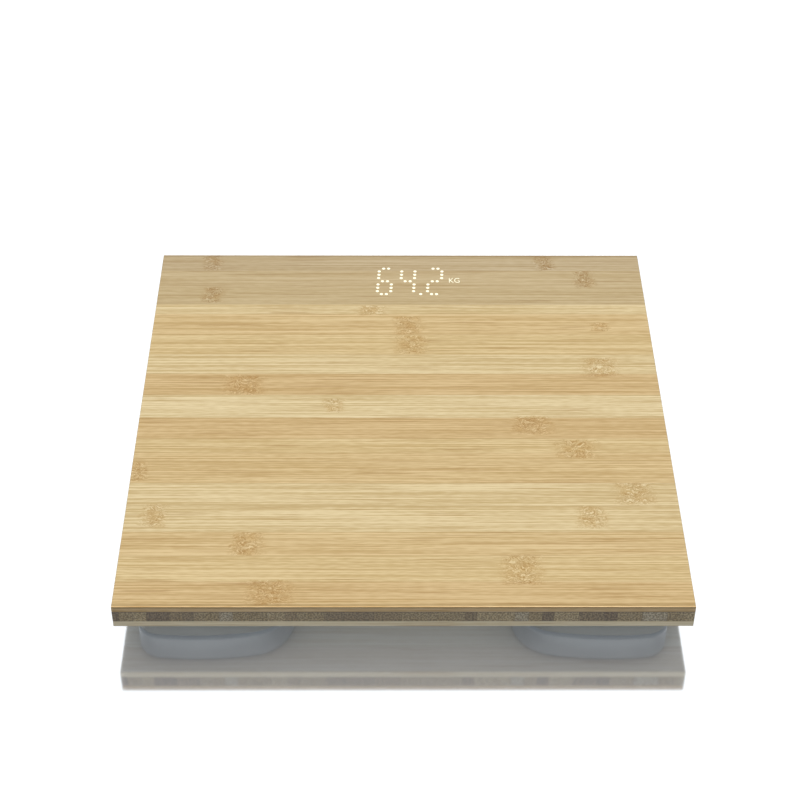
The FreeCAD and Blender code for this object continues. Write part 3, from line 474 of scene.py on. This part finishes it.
def make_metal():
    """Drawn or rolled metal: fine lines along the axis with the longest Grain."""
    tree, given, out = group(
        "drawn_metal",
        (("Position", "Vector"), ("Tone", "Color"), ("Grain", "Vector"), ("Base", "Float")),
        (("Color", "Color"), ("Height", "Float"), ("Roughness", "Float")),
    )
    scaled = vector(tree, "DIVIDE", given["Position"], given["Grain"]).outputs[0]
    lines = noise(tree, scaled, 1.0, detail=3.0, roughness=0.7).outputs[0]
    stain = noise(tree, given["Position"], 5.0, detail=3.0).outputs[0]
    dull = tinted(tree, given["Tone"], METAL_SHADE)
    colour = blended(tree, graded(tree, lines, 0.3, 0.7, 0.35, 1.0), dull, given["Tone"])
    rough = maths(tree, "MULTIPLY_ADD", lines, 0.18, given["Base"])
    rough = maths(tree, "MULTIPLY_ADD", graded(tree, stain, 0.5, 0.8), 0.15, rough)
    tree.links.new(colour, out["Color"])
    tree.links.new(lines, out["Height"])
    tree.links.new(rough, out["Roughness"])
    return tree


FIBRES = make_fibres()
KNOT_PATCH = make_knot_patch()
MOULDED = make_moulded()
METAL = make_metal()


# ------------------------------------------------------------------ materials
def feed(tree, shader, effect, depth):
    """Colour, roughness and bump of a shared effect, into its shader."""
    put(tree, shader.inputs["Base Color"], effect.outputs["Color"])
    put(tree, shader.inputs["Roughness"], effect.outputs["Roughness"])
    raise_bump(tree, shader, effect.outputs["Height"], depth)


def knot_mask(tree, place, knots):
    """1 on the stem's nodes, with a ragged edge."""
    ragged = noise(tree, place, 4.0, detail=2.0).outputs["Color"]
    ragged = vector(tree, "SUBTRACT", ragged, (0.5, 0.5, 0.5)).outputs[0]
    ragged = vector(tree, "MULTIPLY", ragged, (10.0, 2.5, 0.0)).outputs[0]
    place = vector(tree, "ADD", place, ragged).outputs[0]
    flat = vector(tree, "MULTIPLY", place, (1.0, 1.0, 0.0)).outputs[0]
    mask = 0.0
    for x, y, half_x, half_y in knots:
        inputs = {"Position": flat, "Centre": (x, y, 0), "Reach": (half_x, half_y, 1)}
        inputs["Before"] = mask
        mask = add(tree, "ShaderNodeGroup", {}, node_tree=KNOT_PATCH)
        for label, value in inputs.items():
            put(tree, mask.inputs[label], value)
        mask = mask.outputs["Mask"]
    return mask


def seam_lines(tree, along, starts, width):
    """1 on the thin glue lines between the bands."""
    here = banded(tree, along, starts).outputs["Alpha"]
    ahead = maths(tree, "ADD", along, width)
    there = banded(tree, ahead, starts).outputs["Alpha"]
    step = maths(tree, "ABSOLUTE", maths(tree, "SUBTRACT", here, there))
    return maths(tree, "GREATER_THAN", step, 0.01)


def milled_edge(tree, split, colour):
    """Front and back edges: a painted highlight on the rounding, painted shade in a band just
    inside it, burnt under it; raw underside.
    """
    inward = maths(tree, "SUBTRACT", HALF_BOARD, maths(tree, "ABSOLUTE", split["Y"]))
    below = maths(tree, "SUBTRACT", ROUNDING_Z, split["Z"])
    side = maths(tree, "GREATER_THAN", below, 0.0)
    top = maths(tree, "SUBTRACT", 1.0, side)
    sawn = tinted(tree, colour, SAWN_SIDE)
    colour = blended(tree, side, colour, sawn)
    # Painted shade: a darker band on the top face just inside the rounding.
    edge_shaded_colour = tinted(tree, colour, PAINTED_EDGE_SHADE)
    edge_shade_mask = maths(tree, "MULTIPLY", graded(tree, inward, 1.3, 2.6, 1.0, 0.0), top)
    colour = blended(tree, edge_shade_mask, colour, edge_shaded_colour)
    # Painted highlight along the rounding of the front and back edges.
    rim_highlight_colour = tinted(tree, colour, PAINTED_RIM_HIGHLIGHT)
    rim = maths(tree, "MULTIPLY", graded(tree, inward, 0.35, 0.75, 1.0, 0.0), top)
    colour = blended(tree, rim, colour, rim_highlight_colour)
    raw = tinted(tree, colour, RAW_UNDERSIDE)
    under = maths(tree, "LESS_THAN", split["Z"], UNDERSIDE_Z)
    colour = blended(tree, under, colour, raw)
    burnt = maths(tree, "MULTIPLY", graded(tree, below, 0.45, 0.85, 0.95, 0.0), side)
    browned = tinted(tree, colour, BROWNED_LINE)
    return blended(tree, burnt, colour, browned)


def bamboo_strips(
    name, knots, softness, seam_strength, tones=TONES, knot_strength=1.0, **sockets
):
    """Lengthwise strips across Y, glued edge to edge."""
    material, tree, shader = surface(name, **sockets)
    place = place_in_mm(tree)
    split = add(tree, "ShaderNodeSeparateXYZ", {0: place}).outputs
    starts = [(start, linear(tones[tone])) for start, tone in STRIPS]
    strips = banded(tree, split["Y"], starts)
    seams = seam_lines(tree, split["Y"], starts, STRIP_SEAM)
    inputs = {"Position": place, "Tone": strips.outputs["Color"], "Softness": softness}
    inputs["Shift"] = strips.outputs["Alpha"]
    inputs["Knot"] = maths(tree, "MULTIPLY", knot_mask(tree, place, knots), knot_strength)
    fibres = add(tree, "ShaderNodeGroup", {}, node_tree=FIBRES)
    for label, value in inputs.items():
        put(tree, fibres.inputs[label], value)
    feed(tree, shader, fibres, 0.05)
    seams = maths(tree, "MULTIPLY", seams, seam_strength)
    colour = blended(tree, seams, fibres.outputs["Color"], linear(STRIP_GLUE))
    colour = milled_edge(tree, split, colour)
    put(tree, shader.inputs["Base Color"], colour)
    return material


def bamboo_core():
    """Blocks laid across, so that their end grain shows at the front and back."""
    material, tree, shader = surface("cross_laid_bamboo")
    place = place_in_mm(tree)
    split = add(tree, "ShaderNodeSeparateXYZ", {0: place}).outputs
    starts = [(start, linear(CORE_TONES[tone])) for start, tone in CORE_BLOCKS]
    blocks = banded(tree, split["X"], starts)
    seams = seam_lines(tree, split["X"], starts, BLOCK_SEAM)
    turned = add(tree, "ShaderNodeCombineXYZ", {0: split["Y"], 1: split["X"], 2: split["Z"]})
    fibres = add(tree, "ShaderNodeGroup", {}, node_tree=FIBRES)
    put(tree, fibres.inputs["Position"], turned.outputs[0])
    put(tree, fibres.inputs["Tone"], blocks.outputs["Color"])
    put(tree, fibres.inputs["Shift"], blocks.outputs["Alpha"])
    put(tree, fibres.inputs["Softness"], 0.8)
    pores = noise(tree, turned.outputs[0], (30.0, 0.95, 0.95), detail=0.0).outputs[0]
    dark = tinted(tree, blocks.outputs["Color"], PORE_DARK)
    hollow = graded(tree, pores, 0.50, 0.60, 0.0, 0.8)
    colour = blended(tree, hollow, fibres.outputs["Color"], dark)
    light = tinted(tree, blocks.outputs["Color"], PORE_LIGHT)
    colour = blended(tree, graded(tree, pores, 0.38, 0.47, 0.8, 0.0), colour, light)
    glue = graded(tree, split["Z"], *CORE_TOP_GLUE_Z)
    seams = maths(tree, "MAXIMUM", maths(tree, "MULTIPLY", seams, 0.5), glue)
    colour = blended(tree, seams, colour, linear(CORE_GLUE))
    feed(tree, shader, fibres, 0.04)
    put(tree, shader.inputs["Base Color"], colour)
    return material


def moulded(name, tone, grain=0.5, dust=0.0, depth=0.03, **sockets):
    material, tree, shader = surface(name, **sockets)
    skin = add(tree, "ShaderNodeGroup", {}, node_tree=MOULDED)
    put(tree, skin.inputs["Position"], place_in_mm(tree))
    put(tree, skin.inputs["Tone"], linear(tone))
    put(tree, skin.inputs["Grain"], grain)
    put(tree, skin.inputs["Dust"], dust)
    feed(tree, shader, skin, depth)
    return material


def metal(name, tone, grain, base, depth=0.01, **sockets):
    material, tree, shader = surface(name, metallic=1.0, **sockets)
    skin = add(tree, "ShaderNodeGroup", {}, node_tree=METAL)
    put(tree, skin.inputs["Position"], place_in_mm(tree))
    put(tree, skin.inputs["Tone"], linear(tone))
    put(tree, skin.inputs["Grain"], grain)
    put(tree, skin.inputs["Base"], base)
    feed(tree, shader, skin, depth)
    return material


def circuit_board():
    """Solder mask, paler and raised where it lies over copper tracks."""
    material, tree, shader = surface("circuit_board")
    place = place_in_mm(tree)
    cells = vector(tree, "DIVIDE", place, (1.8, 1.8, 1.8)).outputs[0]
    inputs = {"Vector": cells, "Scale": 1.0, "Randomness": 0.35}
    tracks = add(tree, "ShaderNodeTexVoronoi", inputs)
    tracks.distance = "CHEBYCHEV"
    edge = graded(tree, tracks.outputs["Distance"], 0.34, 0.40)
    coarse = noise(tree, place, 7.0, detail=0.0).outputs[0]
    copper = maths(tree, "MULTIPLY", edge, maths(tree, "GREATER_THAN", coarse, 0.48))
    colour = blended(tree, copper, linear(SOLDER_MASK), linear(MASKED_TRACK))
    put(tree, shader.inputs["Base Color"], colour)
    put(tree, shader.inputs["Roughness"], graded(tree, coarse, 0.3, 0.7, 0.28, 0.36))
    raise_bump(tree, shader, copper, 0.03)
    return material


def battery_wrap():
    """Shrink-wrapped cells: a dark body, a coppery band on the +X side and steel ends."""
    material, tree, shader = surface("battery_wrap", metallic=0.75)
    place = place_in_mm(tree)
    split = add(tree, "ShaderNodeSeparateXYZ", {0: place}).outputs
    band = maths(tree, "GREATER_THAN", split["X"], CELL_BAND_X)
    grain = noise(tree, place, (20.0, 0.4, 0.4), detail=2.0).outputs[0]
    colour = blended(tree, band, linear(CELL_WRAP), linear(CELL_BAND))
    colour = blended(tree, maths(tree, "MULTIPLY", grain, 0.25), colour, linear(CELL_SCUFF))
    ends = maths(tree, "GREATER_THAN", maths(tree, "ABSOLUTE", split["X"]), CELL_END_X)
    colour = blended(tree, ends, colour, linear(CELL_END))
    put(tree, shader.inputs["Base Color"], colour)
    put(tree, shader.inputs["Roughness"], graded(tree, grain, 0.3, 0.7, 0.25, 0.36))
    raise_bump(tree, shader, grain, 0.01)
    return material


def lead_colours():
    """Thin leads: black on the +X side of the middle, red on the other."""
    material, tree, shader = surface("lead_insulation")
    place = place_in_mm(tree)
    split = add(tree, "ShaderNodeSeparateXYZ", {0: place}).outputs
    scuff = noise(tree, place, 2.0, detail=3.0).outputs[0]
    side = maths(tree, "GREATER_THAN", split["X"], 0.0)
    colour = blended(tree, side, linear(LEAD_RED), linear(LEAD_BLACK))
    colour = blended(tree, maths(tree, "MULTIPLY", scuff, 0.2), colour, linear(LEAD_SCUFF))
    put(tree, shader.inputs["Base Color"], colour)
    put(tree, shader.inputs["Roughness"], graded(tree, scuff, 0.3, 0.7, 0.34, 0.5))
    raise_bump(tree, shader, scuff, 0.02)
    return material


def lit_lens():
    """Warm white light through the printed film, slightly uneven."""
    material, tree, shader = surface("lit_lens", emission_strength=LENS_LIGHT)
    grain = noise(tree, place_in_mm(tree), 0.5, detail=1.0).outputs[0]
    low, high = (linear(colour) for colour in LENS_GLOW)
    glow = blended(tree, graded(tree, grain, 0.3, 0.7), low, high)
    put(tree, shader.inputs["Base Color"], linear(LENS_PLASTIC))
    put(tree, shader.inputs["Emission Color"], glow)
    put(tree, shader.inputs["Roughness"], graded(tree, grain, 0.3, 0.7, 0.3, 0.4))
    return material


BY_SLOT = {
    "black_plastic": moulded("black_plastic", (38, 38, 41), grain=0.4),
    "circuit_board": circuit_board(),
    "led": moulded("led_diffuser", (236, 234, 214), grain=0.3, depth=0.01),
    "grey_abs": moulded("grey_abs", (181, 185, 183), grain=0.45, dust=0.1),
    "button_plastic": moulded("button_plastic", (104, 110, 116), grain=0.3),
    "pad_rubber": moulded("pad_rubber", (122, 128, 132), grain=0.7, dust=0.35, depth=0.06),
    "cell_steel": metal("cell_steel", (186, 188, 192), (40.0, 0.25, 0.25), 0.24),
    "zinc_steel": metal("zinc_steel", (198, 200, 206), (1.4, 1.4, 0.3), 0.22),
    "nickel_plate": metal("nickel_plate", (206, 204, 198), (6.0, 0.5, 0.5), 0.12),
    "battery_wrap": battery_wrap(),
    "wire_insulation": lead_colours(),
    "silicone": moulded("white_silicone", (228, 228, 222), grain=0.8, depth=0.05),
}
BY_NODE = {
    "top_ply": bamboo_strips("bamboo_top", SWIRLS, 1.0, 0.30, specular_ior_level=0.25),
    "display_cover": bamboo_strips(
        "printed_film",
        FILM_SWIRLS,
        1.5,
        0.15,
        knot_strength=1.35,
        specular_ior_level=0.25,
        coat_weight=0.15,
        coat_roughness=0.2,
    ),
    "core_ply": bamboo_core(),
    "bottom_ply": bamboo_strips(
        "bamboo_under", SWIRLS[:5], 2.4, 0.30, UNDER_TONES, specular_ior_level=0.25
    ),
}


def dress_cad_nodes():
    slots = {row["node"]: row["material_slot"] for row in frame["record"]["subparts"]}
    for name, node in NODES.items():
        material = BY_NODE[name] if name in BY_NODE else BY_SLOT[slots[name]]
        node.data.materials.clear()
        node.data.materials.append(material)


# ------------------------------------------------------------------ pieces
def piece(name, mesh, material, body):
    mesh.materials.clear()
    mesh.materials.append(material)
    thing = bpy.data.objects.new(name, mesh)
    bpy.context.scene.collection.objects.link(thing)
    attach(thing, body)
    return thing


def segment_dots():
    """Dot places of each segment, from a digit's middle, before the slant."""
    half = DIGIT_W / 2
    places = {
        "top": [(x, BAR_Y) for x in (-BAR_X, BAR_X)],
        "middle": [(x, 0.0) for x in (-BAR_X, BAR_X)],
        "bottom": [(x, -BAR_Y) for x in (-BAR_X, BAR_X)],
    }
    for side, x in (("left", -half), ("right", half)):
        places["upper_" + side] = [(x, y) for y in DOT_ROWS]
        places["lower_" + side] = [(x, -y) for y in DOT_ROWS]
    return places


def lit_places():
    dots = segment_dots()
    places = []
    for digit, column in READING:
        middle = DIGIT_X[column] + DIGIT_W / 2
        for segment in SEGMENTS[digit].split():
            places += [(middle + x, y) for x, y in dots[segment]]
    places.append((POINT_X, -BAR_Y))
    return [(x + SLANT * y, DIGIT_Y + y) for x, y in places]


def lit_dots():
    """One shallow lens for each lit dot, on the display cover."""
    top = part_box("display_cover")[1].z
    bm = bmesh.new()
    for x, y in lit_places():
        made = bmesh.ops.create_cone(
            bm,
            cap_ends=True,
            segments=20,
            radius1=LENS_DIAMETER / 2 * MM,
            radius2=LENS_DIAMETER / 2 * LENS_TAPER * MM,
            depth=LENS_PROUD * MM,
        )
        middle = Vector((x * MM, y * MM, top + LENS_PROUD / 2 * MM))
        bmesh.ops.translate(bm, verts=made["verts"], vec=middle)
    mesh = bpy.data.meshes.new("lit_dots")
    bm.to_mesh(mesh)
    bm.free()
    return piece("lit_dots", mesh, LIT, "platform")


def lit_unit():
    """The unit beside the digits, as a thin raised plate of letters."""
    text = bpy.data.curves.new("unit_text", "FONT")
    text.body = "KG"
    text.extrude = LENS_PROUD / 2
    text.offset = -0.014
    text.space_character = 0.96
    lettering = bpy.data.objects.new("unit_text", text)
    bpy.context.scene.collection.objects.link(lettering)
    view = bpy.context.evaluated_depsgraph_get()
    mesh = bpy.data.meshes.new_from_object(lettering.evaluated_get(view))
    bpy.data.objects.remove(lettering)
    low = [min(v.co[i] for v in mesh.vertices) for i in range(3)]
    high = [max(v.co[i] for v in mesh.vertices) for i in range(3)]
    wide = (UNIT_X[1] - UNIT_X[0]) / (high[0] - low[0])
    tall = (UNIT_Y[1] - UNIT_Y[0]) / (high[1] - low[1])
    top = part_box("display_cover")[1].z / MM
    to_corner = Matrix.Translation((-low[0], -low[1], -low[2]))
    fit = Matrix.Diagonal((wide, tall, 1.0, 1.0))
    seat = Matrix.Translation((UNIT_X[0], UNIT_Y[0], top))
    mesh.transform(Matrix.Scale(MM, 4) @ seat @ fit @ to_corner)
    return piece("lit_unit", mesh, LIT, "platform")


# ------------------------------------------------------------------ stage
def make_floor():
    """Glossy white floor that lights what is over it; from below it isn't there."""
    bm = bmesh.new()
    bmesh.ops.create_grid(bm, x_segments=1, y_segments=1, size=FLOOR_REACH)
    mesh = bpy.data.meshes.new("floor")
    bm.to_mesh(mesh)
    bm.free()
    floor = bpy.data.objects.new("floor", mesh)
    bpy.context.scene.collection.objects.link(floor)
    material = bpy.data.materials.new("white_floor")
    material.use_nodes = True
    tree = material.node_tree
    tree.nodes.clear()
    matt = add(tree, "ShaderNodeBsdfDiffuse", {"Color": (0.9, 0.9, 0.9, 1.0)})
    inputs = {"Color": FLOOR_TINT, "Roughness": FLOOR_ROUGHNESS}
    gloss = add(tree, "ShaderNodeBsdfGlossy", inputs)
    bounced = add(tree, "ShaderNodeLightPath").outputs["Is Diffuse Ray"]
    glow = blended(tree, bounced, FLOOR_LIFT, FLOOR_BOUNCE)
    lift = add(tree, "ShaderNodeEmission", {"Color": glow})
    clear = add(tree, "ShaderNodeBsdfTransparent")
    inputs = {0: FLOOR_GLOSS, 1: matt.outputs[0], 2: gloss.outputs[0]}
    both = add(tree, "ShaderNodeMixShader", inputs)
    lit = add(tree, "ShaderNodeAddShader", {0: both.outputs[0], 1: lift.outputs[0]})
    back = add(tree, "ShaderNodeNewGeometry").outputs["Backfacing"]
    seen = add(tree, "ShaderNodeMixShader", {0: back, 1: lit.outputs[0], 2: clear.outputs[0]})
    add(tree, "ShaderNodeOutputMaterial", {"Surface": seen.outputs[0]})
    mesh.materials.append(material)


def make_world():
    """White to the eye and in reflections, and dimmer as light."""
    world = bpy.data.worlds.new("studio")
    world.use_nodes = True
    tree = world.node_tree
    rays = add(tree, "ShaderNodeLightPath").outputs
    mirrored = maths(tree, "LESS_THAN", rays["Diffuse Depth"], 0.5)
    mirrored = maths(tree, "MULTIPLY", rays["Is Glossy Ray"], mirrored)
    strength = maths(tree, "MULTIPLY_ADD", mirrored, SKY_MIRRORED, SKY_LIGHT)
    strength = maths(tree, "MAXIMUM", strength, rays["Is Camera Ray"])
    put(tree, tree.nodes["Background"].inputs["Color"], (1.0, 1.0, 1.0, 1.0))
    put(tree, tree.nodes["Background"].inputs["Strength"], strength)
    bpy.context.scene.world = world


def make_lamp():
    """One wide soft box overhead."""
    lamp = bpy.data.lights.new("soft_box", "AREA")
    lamp.size = LAMP_SIZE
    lamp.energy = LAMP_POWER
    holder = bpy.data.objects.new("soft_box", lamp)
    holder.location = (0.0, 0.0, LAMP_HEIGHT)
    holder.visible_glossy = False
    bpy.context.scene.collection.objects.link(holder)


def make_camera():
    pitch = math.radians(CAMERA_PITCH)
    roll = math.radians(CAMERA_ROLL)
    ahead = Vector((0.0, math.cos(pitch), -math.sin(pitch)))
    upright = Vector((0.0, math.sin(pitch), math.cos(pitch)))
    across = Vector((1.0, 0.0, 0.0))
    right = math.cos(roll) * across + math.sin(roll) * upright
    up = math.cos(roll) * upright - math.sin(roll) * across
    turn = Matrix.Rotation(math.radians(CAMERA_YAW), 3, "Z")
    axes = turn @ Matrix((right, up, -ahead)).transposed()
    data = bpy.data.cameras.new("camera")
    data.sensor_width = SENSOR
    data.lens = CAMERA_LENS
    camera = bpy.data.objects.new("camera", data)
    camera.matrix_world = Matrix.Translation(Vector(CAMERA_PLACE) * MM) @ axes.to_4x4()
    bpy.context.scene.collection.objects.link(camera)
    bpy.context.scene.camera = camera


LIT = lit_lens()
bpy.context.scene.view_settings.view_transform = "Standard"
dress_cad_nodes()
lit_dots()
lit_unit()
make_floor()
make_world()
make_lamp()
make_camera()
